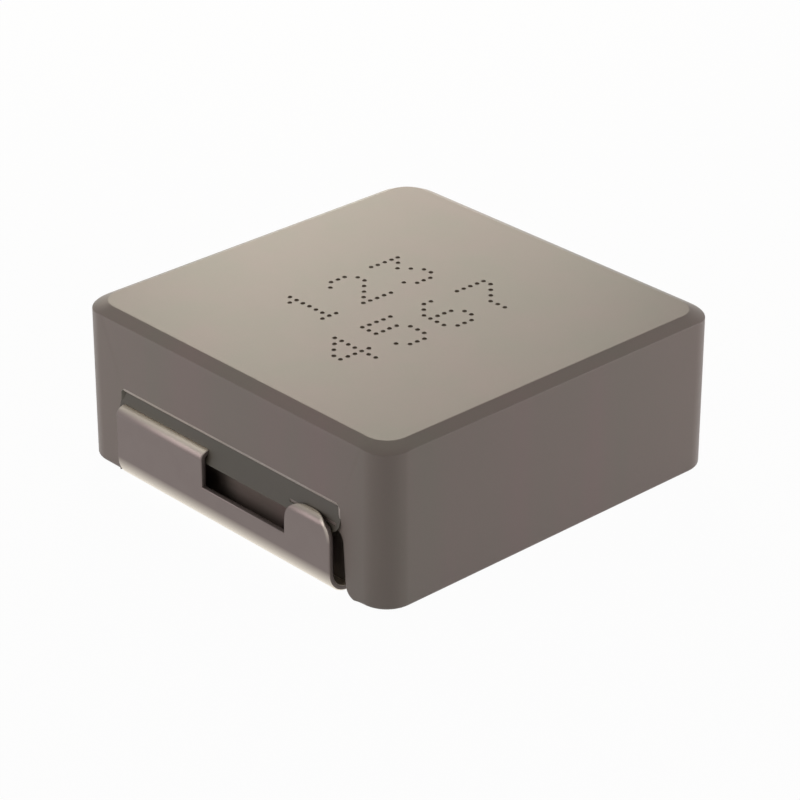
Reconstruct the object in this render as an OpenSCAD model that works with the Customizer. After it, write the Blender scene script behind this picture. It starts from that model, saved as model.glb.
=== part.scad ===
// Shielded SMD power inductor: a square block of pressed magnetic compound,
// moulded round a flat-wire coil, with two lead-frame terminals bent down its
// sides and under it.
// Millimetres. +Z is up and +X runs from one terminal to the other. The origin
// is on the seating plane, below the middle of the block.

/* [Body] */
// Width and depth of the square block
body_w = 17.15; // [16:0.05:20]
// Height of the block itself, from its underside to its top
body_h = 6.57; // [6:0.01:9]
// Radius of the block's upright corners
corner_r = 1.17; // [0.8:0.01:1.6]
// Radius of the corners of the flat top, inside the chamfer
top_corner_r = 0.92; // [0.6:0.01:1.2]
// How far the chamfer round the top comes in
chamfer_in = 0.50; // [0.2:0.01:0.7]
// How far the chamfer round the top goes down
chamfer_down = 0.24; // [0.1:0.01:0.5]
// Gap between the board and the block's underside
standoff = 0.10; // [0.04:0.01:0.16]

/* [Shelf above each terminal] */
// Width of the shelf
shelf_w = 12.50; // [12.3:0.05:13.5]
// Height of the shelf's top edge above the board
shelf_top = 3.80; // [3.6:0.01:4.6]
// Height of the shelf's lower lip above the board
lip_z = 2.56; // [2.3:0.01:2.7]
// How far the sloping face has sunk into the side at the shelf's top edge
shelf_sink = 0.16; // [0.06:0.01:0.3]
// Radius of the shelf's corners
shelf_r = 0.42; // [0.2:0.01:0.6]
// Radius of the rounded edge between the side and the shelf's top
shelf_edge_r = 0.30; // [0.1:0.01:0.35]

/* [Pocket behind each terminal] */
// Width of the pocket at its top
pocket_w = 12.72; // [12.6:0.02:13.6]
// How much wider the pocket is at its foot, both sides together
pocket_flare = 0.28; // [0:0.02:0.8]
// Height of the pocket's top above the board
pocket_top = 2.70; // [2.5:0.01:2.8]
// Depth of the pocket into the side
pocket_depth = 0.55; // [0.5:0.01:1]
// Radius of the pocket's upper corners
pocket_r = 0.42; // [0.2:0.01:0.6]
// Radius where the pocket's sides run out under the block
pocket_foot_r = 0.70; // [0.3:0.01:1]

/* [Terminals] */
// Width of the strip
strip_w = 12.10; // [11.4:0.05:12.2]
// Thickness of the sheet
strip_t = 0.24; // [0.2:0.01:0.28]
// How far the strip's outer face stands out from the side of the block
strip_reach = 0.405; // [0.36:0.005:0.6]
// Height of the lead's top face above the board, where it leaves the block
lead_top = 3.10; // [2.95:0.01:3.4]
// Outer radius of the bend where the lead turns down
top_bend_r = 0.35; // [0.3:0.01:0.4]
// Outer radius of the bend where the strip turns under the block
foot_bend_r = 0.90; // [0.6:0.01:1.0]
// Length of the foot, from the strip's outer face to its free end
foot_l = 3.00; // [2.2:0.05:4]
// Width of the prong that becomes the lead
wide_prong_w = 5.00; // [4.4:0.05:5.4]
// Width of the short prong with the rounded tip
short_prong_w = 2.45; // [2:0.05:3]
// Height of the bottom of the window between the prongs, above the board
window_z = 1.64; // [1.2:0.01:2]
// Radius of the short prong's rounded corners, measured on the flat blank
tip_r = 1.10; // [0.5:0.01:1.2]
// How far the short prong's tip runs round the bend, as an angle
tip_wrap = 88; // [60:1:90]

/* [Coil] */
// Number of full turns
turns = 7; // [4:1:8]
// Width of the flat wire, across the turn
wire_w = 2.20; // [1.6:0.05:2.4]
// Thickness of the flat wire, along the coil's axis
wire_t = 0.50; // [0.35:0.01:0.52]
// Room for the enamel between one turn and the next
turn_gap = 0.03; // [0.02:0.01:0.06]
// Radius of the middle of the wire
coil_r = 4.75; // [4.4:0.05:4.9]
// Length of wire that lies on the lead, where the two are welded
weld_l = 1.55; // [0.8:0.05:1.6]

/* [Fits] */
// Clearance of the compound round the leads
lead_fit = 0.02; // [0.01:0.01:0.05]
// Clearance of the compound round the coil
coil_fit = 0.05; // [0.02:0.01:0.1]
// Gap between the coil and the ends of the leads
coil_to_lead = 0.50; // [0.3:0.01:0.6]
// Clearance between the shelf's lip and the strip that passes in front of it
lip_fit = 0.01; // [0.01:0.01:0.05]

/* [Hidden] */
$fn = 64;

compound_colour = [0.46, 0.43, 0.40];
tin_colour = [0.66, 0.62, 0.58];
enamel_colour = [0.70, 0.36, 0.16];

side_x = body_w / 2;
body_top = standoff + body_h;
past = 0.5; // how far a cut runs past the surface that it opens

// Short prong: the lead's outer skin starts to bend at bend_z
bend_x = side_x + strip_reach - top_bend_r;
bend_z = lead_top - top_bend_r;
strip_x = side_x + strip_reach;
lead_under = lead_top - strip_t;

// The wide prong is at +Y and the short one at -Y
wide_y = strip_w / 2 - wide_prong_w;
short_y = -strip_w / 2 + short_prong_w;

// The lip stops just behind the strip, and the shelf's face runs up from it
lip_reach = strip_reach - strip_t - lip_fit;
shelf_slope = (lip_reach + shelf_sink) / (shelf_top - lip_z);
face_z = lip_z + lip_reach / shelf_slope; // where the face crosses the side

// Coil: the turns lie about the middle of the block's height
pitch = wire_t + turn_gap;
coil_mid_z = standoff + body_h / 2;
coil_low_z = coil_mid_z - turns * pitch / 2;
coil_high_z = coil_mid_z + turns * pitch / 2;
coil_out_r = coil_r + wire_w / 2;
coil_in_r = coil_r - wire_w / 2;
arc_steps = 36; // straight pieces in one turn
rise = pitch / (2 * PI * coil_r); // slope of the turns, kept by the tails

// A tail leaves the turns along X, is set to the lead's height and lies on it
tail_out_x = sqrt(coil_out_r * coil_out_r - coil_in_r * coil_in_r) + 0.15;
set_l = 1.0; // length of the stretch that changes height
weld_x = tail_out_x + set_l;
tail_end_x = weld_x + weld_l;
lead_end_x = weld_x - 0.2;
lead_arc_r = coil_out_r + coil_to_lead;

// ---- functions ----

function unit(v) = v / norm(v);

// Centre line of a tail in the XZ plane, outward from the coil
function tail_line(from_z, to_z, slope) = [
    [0, from_z],
    [tail_out_x, from_z + slope * tail_out_x],
    [weld_x, to_z],
    [tail_end_x, to_z]
];

// Mitred offset of point i of a line, to its left when d is positive
function offset_at(line, i, d) =
    let (last = len(line) - 1,
         a = unit(line[max(i, 1)] - line[max(i, 1) - 1]),
         b = unit(line[min(i, last - 1) + 1] - line[min(i, last - 1)]),
         n = unit([-a[1] - b[1], a[0] + b[0]]),
         turn = n * [-a[1], a[0]])
    line[i] + n * d / turn;

// Outline of a band of even thickness along a line
function band(line, d) = concat(
    [for (i = [0 : len(line) - 1]) offset_at(line, i, d)],
    [for (i = [len(line) - 1 : -1 : 0]) offset_at(line, i, -d)]
);

// Centre line of the whole coil, from the right tail's end to the left one's
low_tail = tail_line(coil_low_z, lead_under - wire_t / 2, -rise);
high_tail = tail_line(coil_high_z, lead_top + wire_t / 2, rise);
coil_line = concat(
    [for (i = [3 : -1 : 1]) [low_tail[i][0], coil_r, low_tail[i][1]]],
    [for (k = [0 : turns * arc_steps])
        let (a = 90 + 360 * k / arc_steps)
        [coil_r * cos(a), coil_r * sin(a), coil_low_z + pitch * k / arc_steps]],
    [for (i = [1 : 3]) [-high_tail[i][0], coil_r, high_tail[i][1]]]
);

// Cross-section of the flat wire at point i, mitred at each bend
function wire_ring(i) =
    let (last = len(coil_line) - 1,
         a = unit(coil_line[max(i, 1)] - coil_line[max(i, 1) - 1]),
         b = unit(coil_line[min(i, last - 1) + 1] - coil_line[min(i, last - 1)]),
         along = unit(a + b),
         side = unit(cross([0, 0, 1], along)),
         up = cross(along, side),
         miter = along * a,
         flat_bend = abs(cross([a[0], a[1]], [b[0], b[1]])) > 0.01,
         w = side * wire_w / 2 / (flat_bend ? miter : 1),
         t = up * wire_t / 2 / (flat_bend ? 1 : miter))
    [coil_line[i] + w + t, coil_line[i] - w + t, coil_line[i] - w - t, coil_line[i] + w - t];

// Cross-section of the short prong's rounded tip, a degrees into its corners
function tip_ring(a) =
    let (s = tip_wrap * PI / 180 * top_bend_r - tip_r * (1 - sin(a)),
         wrap = max(0, s / top_bend_r * 180 / PI),
         z = bend_z + min(0, s),
         half = short_prong_w / 2 - tip_r * (1 - cos(a)),
         mid_y = short_y - short_prong_w / 2,
         out = top_bend_r * [cos(wrap), sin(wrap)],
         in = (top_bend_r - strip_t) * [cos(wrap), sin(wrap)])
    [[bend_x + out[0], mid_y + half, z + out[1]], [bend_x + out[0], mid_y - half, z + out[1]],
     [bend_x + in[0], mid_y - half, z + in[1]], [bend_x + in[0], mid_y + half, z + in[1]]];

tip_steps = 18;
tip_start_z = tip_ring(0)[0][2];

// ---- general shapes ----

// Closed solid through a row of four-cornered rings
module skin(rings) {
    last = len(rings) - 1;
    polyhedron(
        points = [for (ring = rings) each ring],
        faces = concat(
            [[3, 2, 1, 0]],
            [for (i = [0 : last - 1], j = [0 : 3])
                [4 * i + j, 4 * i + (j + 1) % 4, 4 * i + 4 + (j + 1) % 4]],
            [for (i = [0 : last - 1], j = [0 : 3])
                [4 * i + j, 4 * i + 4 + (j + 1) % 4, 4 * i + 4 + j]],
            [[4 * last, 4 * last + 1, 4 * last + 2, 4 * last + 3]]
        )
    );
}

// Flat XZ outline, extruded along Y from y0 to y1
module along_y(y0, y1) {
    translate([0, y1, 0]) rotate([90, 0, 0]) linear_extrude(y1 - y0) children();
}

// Flat YZ outline, extruded along X from x0 to x1
module along_x(x0, x1) {
    translate([x0, 0, 0]) rotate([90, 0, 90]) linear_extrude(x1 - x0) children();
}

// A thing on the +X side and its mirror image on the -X side
module mirrored_pair() {
    children();
    mirror([1, 0, 0]) children();
}

// Rectangle with its lower left corner at a, its upper right at b, round at r
module rounded_rect(a, b, r) {
    translate([a[0] + r, a[1]]) square([b[0] - a[0] - 2 * r, b[1] - a[1]]);
    translate([a[0], a[1] + r]) square([b[0] - a[0], b[1] - a[1] - 2 * r]);
    for (x = [a[0] + r, b[0] - r], y = [a[1] + r, b[1] - r]) translate([x, y]) circle(r);
}

// Corner of a square with a quarter round taken out, its sharp point at 0,0
module fillet(r) {
    difference() {
        square(r);
        translate([r, r]) circle(r);
    }
}

// ---- body ----

// Block with upright round corners
module block() {
    translate([0, 0, standoff])
        linear_extrude(body_h) rounded_rect([-side_x, -side_x], [side_x, side_x], corner_r);
}

// Sloping roof that gives the block its chamfer: flat sides, conical corners
module chamfer_roof() {
    spread = chamfer_in / chamfer_down;
    h = 2 * chamfer_down;
    top_half = side_x - chamfer_in;
    low_half = top_half + spread * h;
    centre = top_half - top_corner_r;
    for (a = [0, 90]) rotate(a) translate([0, 0, body_top - h]) along_y(-centre, centre)
        polygon([[-low_half, 0], [low_half, 0], [top_half, h], [-top_half, h]]);
    for (x = [-centre, centre], y = [-centre, centre]) translate([x, y, body_top - h])
        cylinder(h = h, r1 = top_corner_r + spread * h, r2 = top_corner_r);
}

module chamfered_block() {
    intersection() {
        block();
        union() {
            chamfer_roof();
            translate([-side_x - past, -side_x - past, 0])
                cube([body_w + 2 * past, body_w + 2 * past, body_top - 2 * chamfer_down]);
        }
    }
}

// Outline of the shelf, seen from the end
module shelf_outline() {
    rounded_rect([-shelf_w / 2, lip_z], [shelf_w / 2, shelf_top], shelf_r);
}

// Hollow in front of the shelf's sloping face, above the line where it meets
// the side; its top and end edges run out to the side in a round
module shelf_hollow() {
    edge_x = side_x - shelf_edge_r;
    difference() {
        intersection() {
            along_x(side_x - shelf_sink - past, side_x + past) shelf_outline();
            along_y(-shelf_w / 2 - past, shelf_w / 2 + past) polygon([
                [side_x, face_z], [side_x - shelf_sink, shelf_top],
                [side_x + past, shelf_top], [side_x + past, face_z]
            ]);
        }
        translate([edge_x, shelf_w / 2 + past, shelf_top]) rotate([90, 0, 0])
            cylinder(h = shelf_w + 2 * past, r = shelf_edge_r);
        for (y = [-shelf_w / 2, shelf_w / 2]) translate([edge_x, y, lip_z])
            cylinder(h = shelf_top - lip_z + past, r = shelf_edge_r);
    }
}

// Lip that stands proud of the side, under the same sloping face
module shelf_lip() {
    intersection() {
        along_x(side_x - shelf_sink, side_x + past) shelf_outline();
        along_y(-shelf_w / 2 - past, shelf_w / 2 + past) polygon([
            [side_x - shelf_sink, lip_z], [side_x + lip_reach, lip_z],
            [side_x, face_z], [side_x - shelf_sink, face_z]
        ]);
    }
}

// Outline of the pocket, seen from the end: it widens downward, and its sides
// run out under the block in a round
module pocket_outline() {
    top = pocket_w / 2;
    foot = (pocket_w + pocket_flare) / 2;
    foot_z = standoff + pocket_foot_r;
    difference() {
        polygon([[-foot, foot_z], [foot, foot_z], [top, pocket_top], [-top, pocket_top]]);
        mirrored_pair() translate([top, pocket_top]) rotate(180) fillet(pocket_r);
    }
    difference() {
        translate([-foot - pocket_foot_r, standoff - past])
            square([2 * (foot + pocket_foot_r), pocket_foot_r + past]);
        mirrored_pair() translate([foot + pocket_foot_r, foot_z]) circle(pocket_foot_r);
    }
}

module pocket() {
    along_x(side_x - pocket_depth, side_x + past) pocket_outline();
}

// Shallow seat under the block, for the terminal's foot
module foot_seat() {
    translate([strip_x - foot_l - lead_fit, -strip_w / 2 - lead_fit, standoff - past])
        cube([foot_l, strip_w + 2 * lead_fit, past + strip_t - standoff]);
}

// Room for the coil's turns
module coil_room() {
    z0 = coil_low_z - wire_t / 2 - coil_fit;
    z1 = coil_high_z + wire_t / 2 + coil_fit;
    translate([0, 0, z0]) difference() {
        cylinder(h = z1 - z0, r = coil_out_r + coil_fit);
        translate([0, 0, -past]) cylinder(h = z1 - z0 + 2 * past, r = coil_in_r - coil_fit);
    }
}

// Room for one tail of the coil
module tail_room(line) {
    along_y(coil_r - wire_w / 2 - coil_fit, coil_r + wire_w / 2 + coil_fit)
        polygon(band(concat(line, [line[3] + [coil_fit, 0]]), wire_t / 2 + coil_fit));
}

module body() {
    color(compound_colour) difference() {
        union() {
            difference() {
                chamfered_block();
                mirrored_pair() {
                    shelf_hollow();
                    pocket();
                }
            }
            mirrored_pair() shelf_lip();
        }
        mirrored_pair() {
            lead(lead_fit);
            prong_bends(lead_fit);
            foot_seat();
        }
        coil_room();
        tail_room(low_tail);
        mirror([1, 0, 0]) tail_room(high_tail);
    }
}

// ---- coil ----

module coil() {
    color(enamel_colour) skin([for (i = [0 : len(coil_line) - 1]) wire_ring(i)]);
}

// ---- terminals ----

// Quarter bend of the sheet about a line along Y, from the X axis round to Z;
// grow makes it thicker and wider all round
module bend(r, y0, y1, grow = 0) {
    along_y(y0 - grow, y1 + grow) intersection() {
        difference() {
            circle(r + grow);
            circle(r - strip_t - grow);
        }
        square(r + past);
    }
}

// Bends of both prongs where they turn in to the block
module prong_bends(grow = 0) {
    translate([bend_x, 0, bend_z]) {
        bend(top_bend_r, wide_y, strip_w / 2, grow);
        bend(top_bend_r, -strip_w / 2, short_y, grow);
    }
}

// Lead inside the block: it ends on an arc round the coil
module lead(grow) {
    difference() {
        translate([lead_end_x - grow, wide_y - grow, lead_under - grow])
            cube([bend_x - lead_end_x + grow, wide_prong_w + 2 * grow, strip_t + 2 * grow]);
        translate([0, 0, lead_under - past]) cylinder(h = strip_t + 2 * past, r = lead_arc_r - grow);
    }
}

// Terminal at the +X end
module terminal() {
    outer_y = strip_w / 2;
    foot_bend_x = strip_x - foot_bend_r;
    foot_end_x = strip_x - foot_l;
    // foot and the bend up to the side
    translate([foot_end_x, -outer_y, 0]) cube([foot_bend_x - foot_end_x, strip_w, strip_t]);
    translate([foot_bend_x, 0, foot_bend_r]) mirror([0, 0, 1]) bend(foot_bend_r, -outer_y, outer_y);
    // upright strip up to the window, then the two prongs
    translate([strip_x - strip_t, -outer_y, foot_bend_r])
        cube([strip_t, strip_w, window_z - foot_bend_r]);
    translate([strip_x - strip_t, wide_y, window_z]) cube([strip_t, wide_prong_w, bend_z - window_z]);
    translate([strip_x - strip_t, -outer_y, window_z])
        cube([strip_t, short_prong_w, tip_start_z - window_z]);
    // wide prong turns in and becomes the lead
    translate([bend_x, 0, bend_z]) bend(top_bend_r, wide_y, outer_y);
    lead(0);
    // short prong ends in a rounded tip that follows the same bend
    skin([for (i = [0 : tip_steps]) tip_ring(90 * i / tip_steps)]);
}

module terminal_right() {
    color(tin_colour) terminal();
}

module terminal_left() {
    color(tin_colour) mirror([1, 0, 0]) terminal();
}

body();
coil();
terminal_left();
terminal_right();
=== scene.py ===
"""Looks of the shielded surface-mount power inductor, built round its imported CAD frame.

The block keeps the CAD solid's form, gets finely rounded edges and carries a generic
dot-matrix marking. The terminals are stamped as flat blanks and then bent.
Lengths named in this file are millimetres, and MM turns them into Blender's metres.
"""
import math
import random

import bmesh
import bpy
from mathutils import Euler, Matrix, Vector


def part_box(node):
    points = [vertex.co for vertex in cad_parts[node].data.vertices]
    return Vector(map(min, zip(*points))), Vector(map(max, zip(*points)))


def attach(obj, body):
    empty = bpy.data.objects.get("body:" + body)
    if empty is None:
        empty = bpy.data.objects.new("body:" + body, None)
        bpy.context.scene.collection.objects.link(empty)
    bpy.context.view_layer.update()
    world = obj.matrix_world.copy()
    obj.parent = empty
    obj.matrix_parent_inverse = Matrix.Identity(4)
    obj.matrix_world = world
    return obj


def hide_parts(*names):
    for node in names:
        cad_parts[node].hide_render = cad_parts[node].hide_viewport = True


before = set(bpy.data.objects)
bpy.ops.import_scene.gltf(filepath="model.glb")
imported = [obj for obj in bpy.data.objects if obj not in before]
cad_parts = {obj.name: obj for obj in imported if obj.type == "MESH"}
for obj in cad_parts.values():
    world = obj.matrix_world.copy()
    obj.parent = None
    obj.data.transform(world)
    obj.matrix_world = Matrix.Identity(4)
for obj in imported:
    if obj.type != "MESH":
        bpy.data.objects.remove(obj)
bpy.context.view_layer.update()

MM = 0.001


def box_mm(node):
    """Lowest and highest corner of a CAD node, in millimetres."""
    low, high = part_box(node)
    return low / MM, high / MM


BODY_LOW, BODY_HIGH = box_mm("body")
STRIP_LOW, STRIP_HIGH = box_mm("terminal_right")

# ---- camera ----
CAMERA_AZIMUTH = math.radians(42.94)
CAMERA_ELEVATION = math.radians(27.42)
CAMERA_ROLL = math.radians(0.09)
CAMERA_DISTANCE = 125.48
CAMERA_TARGET = Vector((-0.17, -0.31, 2.73))
LENS = 147.1
SENSOR = 36.0
CLIP_METRES = (0.01, 10.0)

# ---- world and floor ----
SOFT_WORLD = 0.01
FLOOR_GLOW = 0.97  # share of plain white in what the camera and reflections see of the floor
FLOOR_SIZE_METRES = 1.5

# ---- lamps: name, azimuth, elevation, distance, size, power in watts, tint ----
LAMP_AIM = Vector((0, 0, 3))
WARM = (1.0, 0.91, 0.75)
PLAIN = (1.0, 0.92, 0.96)
LAMPS = (
    ("behind_low", 43, 14, 90, 40, 0.0181, WARM),
    ("behind_left", 25, 25, 80, 40, 0.0093, WARM),
    ("behind_high", 43, 33, 80, 36, 0.0045, WARM),
    ("overhead", 45, 75, 80, 50, 0.0056, WARM),
    ("fill_right", 135, 17, 80, 45, 0.0134, PLAIN),
    ("fill_left", 300, 20, 80, 45, 0.0146, PLAIN),
    ("fill_end", 270, 20, 80, 45, 0.0038, PLAIN),
    ("fill_front", 180, 17, 80, 45, 0.0081, PLAIN),
)

# ---- block ----
SIDE_X = BODY_HIGH.y  # the block is square, and only its lips go past this in X
TOP_Z = BODY_HIGH.z
CHAMFER_DOWN = 0.24
LIP_Z = 2.56
SHELF_TOP = 3.80
SHELF_DEPTH = 0.3
SHELF_HALF = 6.25
SHELF_END = 0.4
SHELF_ROUND_LOW = 3.1
SHELF_RIM = 0.2
SHELF_HIGHLIGHT_HEIGHTS = (SHELF_TOP - 0.16, SHELF_TOP - 0.10)  # heights where the shelves' painted highlight line fades in
FLARE_Y = 6.50
FLARE_ROUND = 0.70
FLARE_DEPTH = 0.6
FLARE_TRIM = ((0.7, 0.0), (0.15, -0.12))  # share that is kept and shift outwards, at -Y and at +Y
TOP_ROUND = 0.03
FOOT_ROUND = 0.14
ROUND_SEGMENTS = ((FOOT_ROUND, 4), (TOP_ROUND, 2))
# the SHELF slot carries painted shade, and the edge slot after it a painted highlight
COMPOUND, MARK, SHELF, EDGE_HIGHLIGHT = range(4)  # material slots of the block

# ---- tolerances ----
MARGIN = 0.1  # tells one region of the block from the next
SLACK = 0.005  # a vertex may miss its plane by this much
SLIVER = 0.004
WELD = 0.00001
UPRIGHT = 0.1  # a face whose normal has less Z than this is upright
SIDE_FLAT = 0.995  # a face whose normal has more X than this lies flat on a side

# ---- angles between faces, in degrees ----
ROUNDED_FROM = 15
SEAM_ANGLE = 3
FLAT_ANGLE = 0.3
BLOCK_SHARP = 32
DOT_SHARP = 30
STRIP_SHARP = 50

# ---- terminals: a stamped blank of even thickness, bent twice ----
STRIP_X = STRIP_HIGH.x
STRIP_HALF = STRIP_HIGH.y
LEAD_TOP = STRIP_HIGH.z
LEAD_END = STRIP_LOW.x
SHEET = 0.24
FOOT_LENGTH = 3.00
FOOT_BEND = 0.90
TOP_BEND = 0.35
WINDOW_Z = 1.64
WIDE_PRONG = 5.00
SHORT_PRONG = 2.45
TIP_ROUND = 1.10
TIP_WRAP = math.radians(88)
COIL_CLEARANCE_RADIUS = 6.35
SHEET_EDGE = 0.045
ARC_STEPS = 14
TIN, CUT = range(2)  # material slots of a terminal

# ---- painted highlights on the tin's bends ----
BEND_STRETCH = 0.57  # a quarter bend is longer than it is high, by this share of its radius
TOP_BEND_POWER = 5.0
RING_STRENGTH = 0.4
RING_START = 0.86  # this and the two fades are shares of the tip's radius
RING_FADE_UP = 0.5
RING_FADE_SIDE = -0.2
FOOT_HIGHLIGHT_START = 1.12  # heights above the board, as shares of the foot's bend
FOOT_HIGHLIGHT_FULL = 0.38

# ---- tones, as screen colours from 0 to 255 ----
COMPOUND_TONES = ((142, 126, 120), (134, 128, 117))
# painted shade: the shelves' compound is darker to stand in for the shade on their slopes
SHELF_SHADE_TONES = ((86, 80, 70), (84, 81, 68))
# painted highlight on the rounded edges along the top and the end of the shelves
EDGE_HIGHLIGHT_TONES = ((206, 197, 188), (202, 196, 185))
# painted highlight: a light line along the top of the shelves
SHELF_HIGHLIGHT_TONE = (136, 130, 121)
MARK_TONES = ((92, 80, 68), (106, 94, 82))
TIN_TONES = ((119, 108, 105), (124, 114, 110))
# painted highlights: the tin's top bend and foot bend are coloured bright where they would catch light
TOP_BEND_HIGHLIGHT_TONE = (255, 246, 228)
FOOT_BEND_HIGHLIGHT_TONE = (238, 229, 214)
CUT_TONES = ((112, 102, 98), (126, 116, 110))
WIRE_TONES = ((150, 76, 34), (186, 104, 52))

# ---- marking: three digits over four, each five dots wide and seven high ----
DOT_RADIUS = 0.093
DOT_OVAL = 1.22
DOT_DEPTH = 0.05
DOT_TAPER = 0.75
DOT_SIDES = 20
DOT_SCATTER = 0.012
COLUMN_PITCH = 0.345
ROW_PITCH = 0.372
DIGIT_PITCH = 2.38
ROW_SLOPE = -0.03  # the rows drift down a little towards +X, as a feeding belt leaves them
MARKING = (
    ("123", -3.31, 3.13),
    ("4567", -4.74, -0.67),
)
DIGITS = {
    "1": ("..#..", ".##..", "..#..", "..#..", "..#..", "..#..", ".###."),
    "2": (".###.", "#...#", "....#", "...#.", "..#..", ".#...", "#####"),
    "3": ("#####", "...#.", "..#..", "...#.", "....#", "#...#", ".###."),
    "4": ("...#.", "..##.", ".#.#.", "#..#.", "#####", "...#.", "...#."),
    "5": ("#####", "#....", "####.", "....#", "....#", "#...#", ".###."),
    "6": ("..##.", ".#...", "#....", "####.", "#...#", "#...#", ".###."),
    "7": ("#####", "....#", "...#.", "..#..", ".#...", ".#...", ".#..."),
}


# ---- node helpers ----

class Graph:
    """Short way to build a material's nodes."""

    def __init__(self, name):
        self.material = bpy.data.materials.new(name)
        self.material.use_nodes = True
        self.tree = self.material.node_tree
        self.shader = self.tree.nodes["Principled BSDF"]
        self.place = self.add("ShaderNodeTexCoord").outputs["Object"]

    def add(self, kind, inputs=None, **settings):
        node = self.tree.nodes.new(kind)
        for key, value in settings.items():
            setattr(node, key, value)
        for key, value in (inputs or {}).items():
            self.feed(node.inputs[key], value)
        return node

    def feed(self, socket, value):
        if isinstance(value, bpy.types.NodeSocket):
            self.tree.links.new(value, socket)
        else:
            socket.default_value = value

    def noise(self, scale, detail=2.0, roughness=0.5, stretch=(1, 1, 1)):
        """Noise with features of about 1/scale millimetres, from -0.5 to 0.5."""
        mapping = self.add("ShaderNodeMapping", {"Vector": self.place, "Scale": [s / MM for s in stretch]})
        node = self.add("ShaderNodeTexNoise", {
            "Vector": mapping.outputs["Vector"],
            "Scale": scale, "Detail": detail, "Roughness": roughness,
        })
        return self.maths("SUBTRACT", node.outputs["Fac"], 0.5)

    def maths(self, operation, a, b=0.0, clamp=False):
        node = self.add("ShaderNodeMath", {0: a, 1: b}, operation=operation, use_clamp=clamp)
        return node.outputs["Value"]

    def blend(self, factor, a, b):
        node = self.add("ShaderNodeMix", {"Factor": factor, "A": a, "B": b}, data_type="RGBA")
        return node.outputs["Result"]

    def clouded(self, noise, tones):
        """Wanders between two tones with a noise."""
        return self.blend(self.maths("ADD", noise, 0.5), colour(*tones[0]), colour(*tones[1]))

    def ramp(self, value, low, high):
        """Goes from 0 to 1 as the value goes from low to high."""
        node = self.add("ShaderNodeMapRange", {"Value": value, "From Min": low, "From Max": high})
        return node.outputs["Result"]

    def coordinate(self, axis):
        return self.add("ShaderNodeSeparateXYZ", {"Vector": self.place}).outputs[axis]

    def bump(self, height, distance):
        node = self.add("ShaderNodeBump", {"Height": height, "Distance": distance * MM, "Strength": 1.0})
        return node.outputs["Normal"]

    def surface(self, base, roughness, metallic=0.0, normal=None):
        """Gives the shader its surface and returns the material."""
        self.feed(self.shader.inputs["Base Color"], base)
        self.feed(self.shader.inputs["Roughness"], roughness)
        self.feed(self.shader.inputs["Metallic"], metallic)
        if normal is not None:
            self.feed(self.shader.inputs["Normal"], normal)
        return self.material


def colour(red, green, blue):
    """Screen colour, 0 to 255, as Blender's linear colour."""
    def linear(value):
        value /= 255
        return value / 12.92 if value <= 0.04045 else ((value + 0.055) / 1.055) ** 2.4
    return (linear(red), linear(green), linear(blue), 1.0)


# ---- materials ----

def compound_material(name, tones, painted_highlight=None):
    """Pressed iron powder in resin: satin, with fine grain and faint warm and cool streaks.

    A painted highlight tone, where one is given, shows as a light line along the top of the shelves.
    """
    g = Graph(name)
    grain = g.noise(9.0, detail=3.0, roughness=0.6)
    patches = g.noise(0.35, detail=2.0, stretch=(1, 1, 0.1))
    streaks = g.ramp(g.maths("ADD", patches, g.maths("MULTIPLY", grain, 0.3)), -0.2, 0.2)
    base = g.blend(streaks, colour(*tones[0]), colour(*tones[1]))
    # painted highlight: the shelves turn lighter towards their top
    if painted_highlight:
        close = g.ramp(g.coordinate("Z"), SHELF_HIGHLIGHT_HEIGHTS[0] * MM, SHELF_HIGHLIGHT_HEIGHTS[1] * MM)
        base = g.blend(close, base, colour(*painted_highlight))
    return g.surface(base, roughness=0.42, normal=g.bump(grain, 0.002))


def mark_material():
    """Compound darkened at the bottom of each dot."""
    g = Graph("mark")
    return g.surface(g.clouded(g.noise(14.0), MARK_TONES), roughness=0.8)


def tip_highlight_ring(g, height, top_bend):
    """Painted highlight mask that follows the outer side of the short prong's rounded tip."""
    stretch = BEND_STRETCH * TOP_BEND
    unbent = g.maths("ADD", height, g.maths("MULTIPLY", g.maths("POWER", top_bend, 2.0), stretch * MM))
    centre_z = LEAD_TOP + stretch - TIP_ROUND
    dy = g.maths("MINIMUM", g.maths("SUBTRACT", g.coordinate("Y"), (TIP_ROUND - STRIP_HALF) * MM), 0.0)
    dz = g.maths("MAXIMUM", g.maths("SUBTRACT", unbent, centre_z * MM), 0.0)
    reach = g.maths("SQRT", g.maths("ADD", g.maths("MULTIPLY", dy, dy), g.maths("MULTIPLY", dz, dz)))
    ring = g.ramp(reach, RING_START * TIP_ROUND * MM, TIP_ROUND * MM)
    beyond = g.ramp(dz, 0.0, RING_FADE_UP * TIP_ROUND * MM)
    beside = g.ramp(dy, 0.0, RING_FADE_SIDE * TIP_ROUND * MM)
    return g.maths("MULTIPLY", ring, g.maths("MULTIPLY", beyond, beside))


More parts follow.
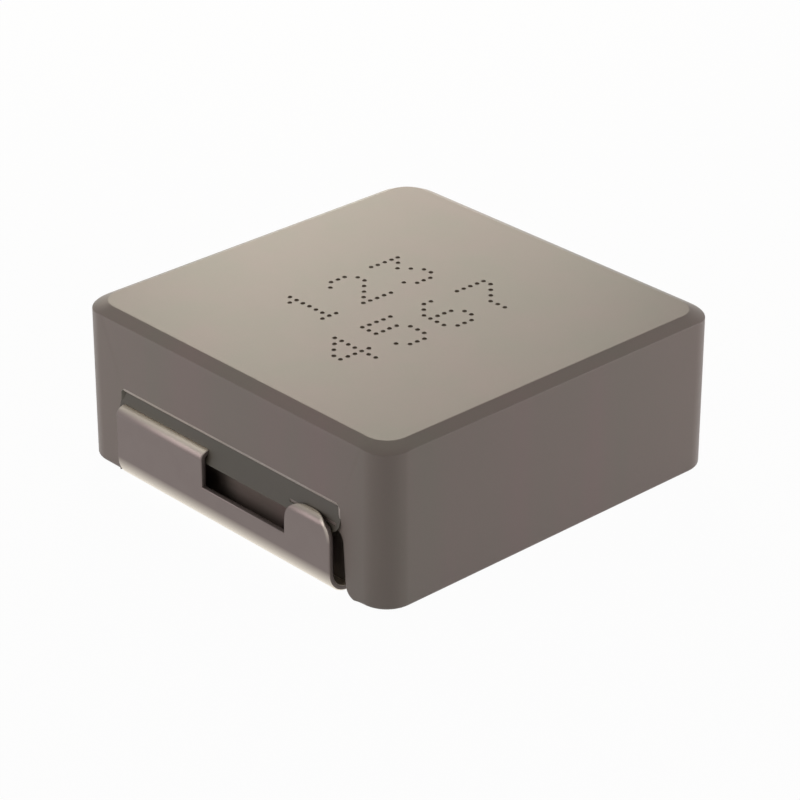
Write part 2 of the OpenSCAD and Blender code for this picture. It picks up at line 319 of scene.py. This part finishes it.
def tin_material():
    """Matte tin plating, with a painted highlight on its bends and along the short prong's rounded tip."""
    g = Graph("tinned_copper")
    height = g.coordinate("Z")
    # painted highlight on the top bend, brightest at its top
    top_bend = g.ramp(height, (LEAD_TOP - TOP_BEND) * MM, LEAD_TOP * MM)
    # painted highlight along the outer side of the short prong's rounded tip
    painted_tip_highlight = g.maths("MULTIPLY", tip_highlight_ring(g, height, top_bend), RING_STRENGTH)
    top_bend = g.maths("MAXIMUM", g.maths("POWER", top_bend, TOP_BEND_POWER), painted_tip_highlight)
    # painted highlight on the foot bend, brightest towards the board
    foot_bend = g.ramp(height, FOOT_HIGHLIGHT_START * FOOT_BEND * MM, FOOT_HIGHLIGHT_FULL * FOOT_BEND * MM)
    base = g.blend(top_bend, g.clouded(g.noise(1.2), TIN_TONES), colour(*TOP_BEND_HIGHLIGHT_TONE))
    base = g.blend(foot_bend, base, colour(*FOOT_BEND_HIGHLIGHT_TONE))
    brushed = g.bump(g.noise(20.0, stretch=(1, 0.1, 1)), 0.001)
    return g.surface(base, roughness=0.42, metallic=0.95, normal=brushed)


def cut_material():
    """Tinned copper where the blank was cut: duller than its faces."""
    g = Graph("cut_edge")
    return g.surface(g.clouded(g.noise(6.0), CUT_TONES), roughness=0.6, metallic=0.8)


def enamel_material():
    """Clear amber enamel on flat copper wire."""
    g = Graph("enamelled_wire")
    g.shader.inputs["Coat Weight"].default_value = 0.6
    g.shader.inputs["Coat Roughness"].default_value = 0.12
    return g.surface(g.clouded(g.noise(1.6), WIRE_TONES), roughness=0.3, metallic=0.8)


# ---- mesh helpers ----

def link(name, data):
    """Puts an object with this data into the scene."""
    thing = bpy.data.objects.new(name, data)
    bpy.context.scene.collection.objects.link(thing)
    return thing


def link_mesh(name, bm, materials):
    """Turns a bmesh into an object of the scene."""
    mesh = bpy.data.meshes.new(name)
    bm.to_mesh(mesh)
    bm.free()
    for material in materials:
        mesh.materials.append(material)
    return link(name, mesh)


def flag_sharp(bm, angle):
    """Flags the edges that turn by more than the angle, in degrees, and leaves the others as they are."""
    for edge in bm.edges:
        if edge.calc_face_angle(0) > math.radians(angle):
            edge.smooth = False


def bake_modifiers(piece):
    """Applies a piece's modifiers, with flat faces kept flat beside rounded ones."""
    weighted = piece.modifiers.new("flat_faces", "WEIGHTED_NORMAL")
    weighted.weight = 100
    weighted.keep_sharp = True
    depsgraph = bpy.context.evaluated_depsgraph_get()
    piece.data = bpy.data.meshes.new_from_object(piece.evaluated_get(depsgraph))
    piece.modifiers.clear()


def stand_for(piece, node):
    """The piece takes a CAD node's place in the looks and moves with its body."""
    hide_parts(node)
    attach(piece, "root")


# ---- block ----

def near(value, target):
    return abs(value - target) < SLIVER


def edge_round(edge):
    """Radius of the round that an edge of the block gets: nothing for edges inside its outline."""
    if edge.calc_face_angle(0) < math.radians(ROUNDED_FROM):
        return 0
    ends = [vertex.co / MM for vertex in edge.verts]
    if min(end.z for end in ends) > TOP_Z - CHAMFER_DOWN - MARGIN:
        return TOP_ROUND
    if not all(near(end.z, BODY_LOW.z) for end in ends):
        return 0
    beyond_flare = FLARE_Y + FLARE_ROUND + MARGIN
    outer = all(abs(end.x) > SIDE_X - SLACK or abs(end.y) > beyond_flare for end in ends)
    return FOOT_ROUND if outer else 0


def flag_cad_edges(bm, normals):
    """Flags as sharp each edge where the CAD surfaces' own normals differ across it."""
    for edge in bm.edges:
        edge.smooth = True
        if len(edge.link_loops) != 2:
            continue
        one, two = edge.link_loops
        pairs = ((one, two.link_loop_next), (one.link_loop_next, two))
        for a, b in pairs:
            if a[normals].angle(b[normals], 0) > math.radians(SEAM_ANGLE):
                edge.smooth = False


def trim_flare(vertex):
    """Makes smaller the round in which a pocket's side runs out under the block."""
    x, y, z = vertex.co / MM
    if abs(x) < SIDE_X - FLARE_DEPTH or z > BODY_LOW.z + FLARE_ROUND + SLACK:
        return
    if not FLARE_Y - SLACK <= abs(y) <= FLARE_Y + FLARE_ROUND + SLACK:
        return
    share, shift = FLARE_TRIM[y > 0]
    reach = FLARE_Y + shift + (abs(y) - FLARE_Y) * share
    vertex.co = Vector((x, math.copysign(reach, y), BODY_LOW.z + (z - BODY_LOW.z) * share)) * MM


def rounded_block():
    """Copy of the CAD block with its slivers merged and its outline edges rounded."""
    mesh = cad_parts["body"].data.copy()
    kept = mesh.attributes.new("cad_normal", "FLOAT_VECTOR", "CORNER")
    for corner, normal in zip(kept.data, mesh.corner_normals):
        corner.vector = normal.vector
    bm = bmesh.new()
    bm.from_mesh(mesh)
    bpy.data.meshes.remove(mesh)
    bmesh.ops.remove_doubles(bm, verts=bm.verts, dist=WELD * MM)
    for vertex in bm.verts:
        trim_flare(vertex)
    bmesh.ops.dissolve_degenerate(bm, dist=SLIVER * MM, edges=bm.edges)
    flag_cad_edges(bm, bm.loops.layers.float_vector["cad_normal"])
    flag_sharp(bm, BLOCK_SHARP)
    flat = math.radians(FLAT_ANGLE)
    bmesh.ops.dissolve_limit(bm, angle_limit=flat, verts=bm.verts, edges=bm.edges)
    rounds = {edge: edge_round(edge) for edge in bm.edges}
    for radius, segments in ROUND_SEGMENTS:
        outline = [edge for edge, wanted in rounds.items() if edge.is_valid and wanted == radius]
        for edge in outline:
            edge.smooth = True
        bmesh.ops.bevel(
            bm, geom=outline, offset=radius * MM, offset_type="OFFSET",
            segments=segments, profile=0.5, affect="EDGES",
        )
    for face in bm.faces:
        face.smooth = True
        face.material_index = COMPOUND
    bm.loops.layers.float_vector.remove(bm.loops.layers.float_vector["cad_normal"])
    return bm


def dot_centres():
    """Places of the marking's dots on the top face, in millimetres."""
    scatter = random.Random(11)
    for text, left, top in MARKING:
        for place, digit in enumerate(text):
            for row, cells in enumerate(DIGITS[digit]):
                for column, cell in enumerate(cells):
                    if cell == "#":
                        x = left + place * DIGIT_PITCH + column * COLUMN_PITCH
                        y = top - row * ROW_PITCH + ROW_SLOPE * x
                        yield (x + scatter.uniform(-DOT_SCATTER, DOT_SCATTER),
                               y + scatter.uniform(-DOT_SCATTER, DOT_SCATTER))


def dot_cutter(mark):
    """All the dots as one object of small tapered plugs, to be cut from the top face."""
    bm = bmesh.new()
    oval = Matrix.Scale(DOT_OVAL, 4, (math.sqrt(0.5), math.sqrt(0.5), 0))
    for x, y in dot_centres():
        centre = Matrix.Translation(Vector((x, y, TOP_Z)) * MM) @ oval
        bmesh.ops.create_cone(
            bm, cap_ends=True, segments=DOT_SIDES, matrix=centre, depth=2 * DOT_DEPTH * MM,
            radius1=DOT_RADIUS * DOT_TAPER * MM, radius2=DOT_RADIUS * (2 - DOT_TAPER) * MM,
        )
    flag_sharp(bm, DOT_SHARP)
    return link_mesh("dots", bm, [mark])


def zone_of(face):
    """Material slot of a face of the block; the shelves get a slot with painted shade, and the rounded edge
    round them one with a painted highlight.
    """
    centre = face.center / MM
    beside_shelf = abs(centre.x) < SIDE_X - SHELF_DEPTH or abs(centre.y) > SHELF_HALF + MARGIN / 2
    at_height = LIP_Z < centre.z < SHELF_TOP + MARGIN
    if beside_shelf or not at_height or abs(face.normal.x) > SIDE_FLAT:
        return face.material_index
    # the rounded edge at the top and the end of a shelf gets the painted highlight, and the rest of the
    # shelf the painted shade
    at_end = centre.y < SHELF_END - SHELF_HALF and centre.z > SHELF_ROUND_LOW
    on_edge = at_end or centre.z > SHELF_TOP - SHELF_RIM
    return EDGE_HIGHLIGHT if on_edge and face.normal.z < UPRIGHT else SHELF


def make_block():
    """The moulded block, its marking cut in, its shelves given painted shade and their rounded edges a
    painted highlight.
    """
    materials = {
        COMPOUND: compound_material("compound", COMPOUND_TONES),
        MARK: mark_material(),
        SHELF: compound_material("compound_shelf_shade", SHELF_SHADE_TONES, SHELF_HIGHLIGHT_TONE),
        EDGE_HIGHLIGHT: compound_material("compound_edge_highlight", EDGE_HIGHLIGHT_TONES),
    }
    block = link_mesh("moulded_block", rounded_block(), [materials[slot] for slot in sorted(materials)])
    cutter = dot_cutter(materials[MARK])
    cut = block.modifiers.new("dots", "BOOLEAN")
    cut.object = cutter
    cut.operation = "DIFFERENCE"
    cut.solver = "EXACT"
    cut.material_mode = "TRANSFER"
    bake_modifiers(block)
    bpy.data.objects.remove(cutter)
    for face in block.data.polygons:
        face.material_index = zone_of(face)
    stand_for(block, "body")


# ---- terminals ----

def arc_points(centre, radius, start, end, steps):
    """Points on an arc of the blank, both ends included; angles in radians."""
    return [
        (centre[0] + radius * math.cos(start + (end - start) * i / steps),
         centre[1] + radius * math.sin(start + (end - start) * i / steps))
        for i in range(steps + 1)
    ]


# Lengths along the strip's outer face, from the free end of the foot
FOOT_FLAT = FOOT_LENGTH - FOOT_BEND
UPRIGHT_START = FOOT_FLAT + FOOT_BEND * math.pi / 2
UPRIGHT_LENGTH = LEAD_TOP - TOP_BEND - FOOT_BEND
TOP_BEND_START = UPRIGHT_START + UPRIGHT_LENGTH
LEAD_START = TOP_BEND_START + TOP_BEND * math.pi / 2
LEAD_BEND_X = STRIP_X - TOP_BEND


def along_lead(x):
    return LEAD_START + LEAD_BEND_X - x


def blank_outline():
    """Outline of the flat blank: length along the strip, then the place across it."""
    wide_y = STRIP_HALF - WIDE_PRONG
    short_y = -STRIP_HALF + SHORT_PRONG
    window = UPRIGHT_START + WINDOW_Z - FOOT_BEND
    tip = TOP_BEND_START + TIP_WRAP * TOP_BEND
    start = math.asin(wide_y / COIL_CLEARANCE_RADIUS)
    end = math.acos(LEAD_END / COIL_CLEARANCE_RADIUS)
    coil_axis = (along_lead(0), 0)
    return [
        (0, -STRIP_HALF), (0, STRIP_HALF), (along_lead(LEAD_END), STRIP_HALF),
        *arc_points(coil_axis, COIL_CLEARANCE_RADIUS, math.pi - end, math.pi - start, ARC_STEPS),
        (window, wide_y), (window, short_y),
        *arc_points((tip - TIP_ROUND, short_y - TIP_ROUND), TIP_ROUND, math.pi / 2, 0, ARC_STEPS),
        *arc_points((tip - TIP_ROUND, TIP_ROUND - STRIP_HALF), TIP_ROUND, 0, -math.pi / 2, ARC_STEPS),
    ]


def bent(s, y, depth):
    """Place of a blank's point on the bent strip of the +X end; depth is below its outer face."""
    if s <= FOOT_FLAT:
        return Vector((STRIP_X - FOOT_LENGTH + s, y, depth))
    if s <= UPRIGHT_START:
        turn = (s - FOOT_FLAT) / FOOT_BEND
        reach = FOOT_BEND - depth
        return Vector((STRIP_X - FOOT_BEND + reach * math.sin(turn), y, FOOT_BEND - reach * math.cos(turn)))
    if s <= TOP_BEND_START:
        return Vector((STRIP_X - depth, y, FOOT_BEND + s - UPRIGHT_START))
    if s <= LEAD_START:
        turn = (s - TOP_BEND_START) / TOP_BEND
        reach = TOP_BEND - depth
        z = LEAD_TOP - TOP_BEND + reach * math.sin(turn)
        return Vector((LEAD_BEND_X + reach * math.cos(turn), y, z))
    return Vector((LEAD_BEND_X + LEAD_START - s, y, LEAD_TOP - depth))


def make_terminal(name, node, side, tin, cut):
    """Blank stamped flat, its edges eased, and bent; side is +1 for the +X end."""
    bm = bmesh.new()
    face = bm.faces.new([bm.verts.new((s, y, 0)) for s, y in blank_outline()])
    if face.normal.z > 0:
        face.normal_flip()
    grown = bmesh.ops.extrude_face_region(bm, geom=[face])
    top = [item for item in grown["geom"] if isinstance(item, bmesh.types.BMVert)]
    bmesh.ops.translate(bm, verts=top, vec=(0, 0, SHEET))
    bmesh.ops.recalc_face_normals(bm, faces=bm.faces)
    rim = [edge for edge in bm.edges if near(edge.verts[0].co.z, edge.verts[1].co.z)]
    bmesh.ops.bevel(
        bm, geom=rim, offset=SHEET_EDGE, offset_type="OFFSET", segments=2, profile=0.5, affect="EDGES",
    )
    for face in bm.faces:
        face.material_index = CUT if abs(face.normal.z) < UPRIGHT else TIN
    cuts = [FOOT_FLAT + FOOT_BEND * math.pi / 2 * i / ARC_STEPS for i in range(ARC_STEPS + 1)]
    cuts += [TOP_BEND_START + TOP_BEND * math.pi / 2 * i / ARC_STEPS for i in range(ARC_STEPS + 1)]
    for s in cuts:
        bmesh.ops.bisect_plane(
            bm, geom=list(bm.verts) + list(bm.edges) + list(bm.faces),
            plane_co=(s, 0, 0), plane_no=(1, 0, 0), dist=WELD,
        )
    for vertex in bm.verts:
        place = bent(*vertex.co)
        vertex.co = Vector((side * place.x, place.y, place.z)) * MM
    bmesh.ops.recalc_face_normals(bm, faces=bm.faces)
    if bm.calc_volume(signed=True) < 0:
        bmesh.ops.reverse_faces(bm, faces=bm.faces)
    flag_sharp(bm, STRIP_SHARP)
    for face in bm.faces:
        face.smooth = True
    terminal = link_mesh(name, bm, [tin, cut])
    bake_modifiers(terminal)
    stand_for(terminal, node)


# ---- camera, floor and lights ----

def make_camera():
    data = bpy.data.cameras.new("camera")
    data.lens = LENS
    data.sensor_width = SENSOR
    data.clip_start, data.clip_end = CLIP_METRES
    camera = link("camera", data)
    ahead = Vector((
        math.sin(CAMERA_AZIMUTH) * math.cos(CAMERA_ELEVATION),
        math.cos(CAMERA_AZIMUTH) * math.cos(CAMERA_ELEVATION),
        -math.sin(CAMERA_ELEVATION),
    ))
    turned = Euler((math.pi / 2 - CAMERA_ELEVATION, 0, -CAMERA_AZIMUTH)).to_matrix()
    turned = turned @ Matrix.Rotation(CAMERA_ROLL, 3, "Z")
    place = (CAMERA_TARGET - ahead * CAMERA_DISTANCE) * MM
    camera.matrix_world = Matrix.Translation(place) @ turned.to_4x4()
    bpy.context.scene.camera = camera


def make_floor():
    """White floor: it keeps a faint shadow, and the camera and reflections see it as white."""
    g = Graph("floor")
    g.surface((0.8, 0.8, 0.8, 1), roughness=0.9)
    glow = g.add("ShaderNodeEmission", {"Color": (1, 1, 1, 1), "Strength": 1.0})
    path = g.add("ShaderNodeLightPath")
    seen = g.maths("MAXIMUM", path.outputs["Is Camera Ray"], path.outputs["Is Glossy Ray"])
    seen = g.maths("MAXIMUM", seen, path.outputs["Is Transmission Ray"])
    mix = g.add("ShaderNodeMixShader", {0: g.maths("MULTIPLY", seen, FLOOR_GLOW)})
    g.tree.links.new(g.shader.outputs[0], mix.inputs[1])
    g.tree.links.new(glow.outputs[0], mix.inputs[2])
    g.tree.links.new(mix.outputs[0], g.tree.nodes["Material Output"].inputs["Surface"])
    bm = bmesh.new()
    bmesh.ops.create_grid(bm, x_segments=1, y_segments=1, size=FLOOR_SIZE_METRES)
    floor = link_mesh("floor", bm, [g.material])


def make_lamp(name, azimuth, elevation, distance, size, power, tint):
    """Square soft lamp that faces LAMP_AIM; azimuth turns from +Y towards +X, in degrees."""
    data = bpy.data.lights.new(name, "AREA")
    data.shape = "SQUARE"
    data.size = size * MM
    data.energy = power
    data.color = tint
    lamp = link(name, data)
    turn, rise = math.radians(azimuth), math.radians(elevation)
    away = Vector((math.sin(turn) * math.cos(rise), math.cos(turn) * math.cos(rise), math.sin(rise)))
    lamp.location = (LAMP_AIM + away * distance) * MM
    lamp.rotation_euler = away.to_track_quat("Z", "Y").to_euler()


def make_world():
    world = bpy.data.worlds.new("world")
    bpy.context.scene.world = world
    world.use_nodes = True
    tree = world.node_tree
    soft = tree.nodes["Background"]
    soft.inputs["Color"].default_value = (1, 1, 1, 1)
    soft.inputs["Strength"].default_value = SOFT_WORLD
    white = tree.nodes.new("ShaderNodeBackground")
    white.inputs["Strength"].default_value = 1.0
    path = tree.nodes.new("ShaderNodeLightPath")
    mix = tree.nodes.new("ShaderNodeMixShader")
    seen = path.outputs["Is Camera Ray"]
    for kind in ("Is Glossy Ray", "Is Transmission Ray"):
        either = tree.nodes.new("ShaderNodeMath")
        either.operation = "MAXIMUM"
        tree.links.new(seen, either.inputs[0])
        tree.links.new(path.outputs[kind], either.inputs[1])
        seen = either.outputs["Value"]
    tree.links.new(seen, mix.inputs[0])
    tree.links.new(soft.outputs[0], mix.inputs[1])
    tree.links.new(white.outputs[0], mix.inputs[2])
    tree.links.new(mix.outputs[0], tree.nodes["World Output"].inputs["Surface"])


make_block()
tin = tin_material()
cut = cut_material()
make_terminal("bent_terminal_left", "terminal_left", -1, tin, cut)
make_terminal("bent_terminal_right", "terminal_right", 1, tin, cut)
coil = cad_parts["coil"].data
coil.materials.clear()
coil.materials.append(enamel_material())

make_camera()
make_floor()
make_world()
for lamp in LAMPS:
    make_lamp(*lamp)

bpy.context.scene.view_settings.view_transform = "Standard"
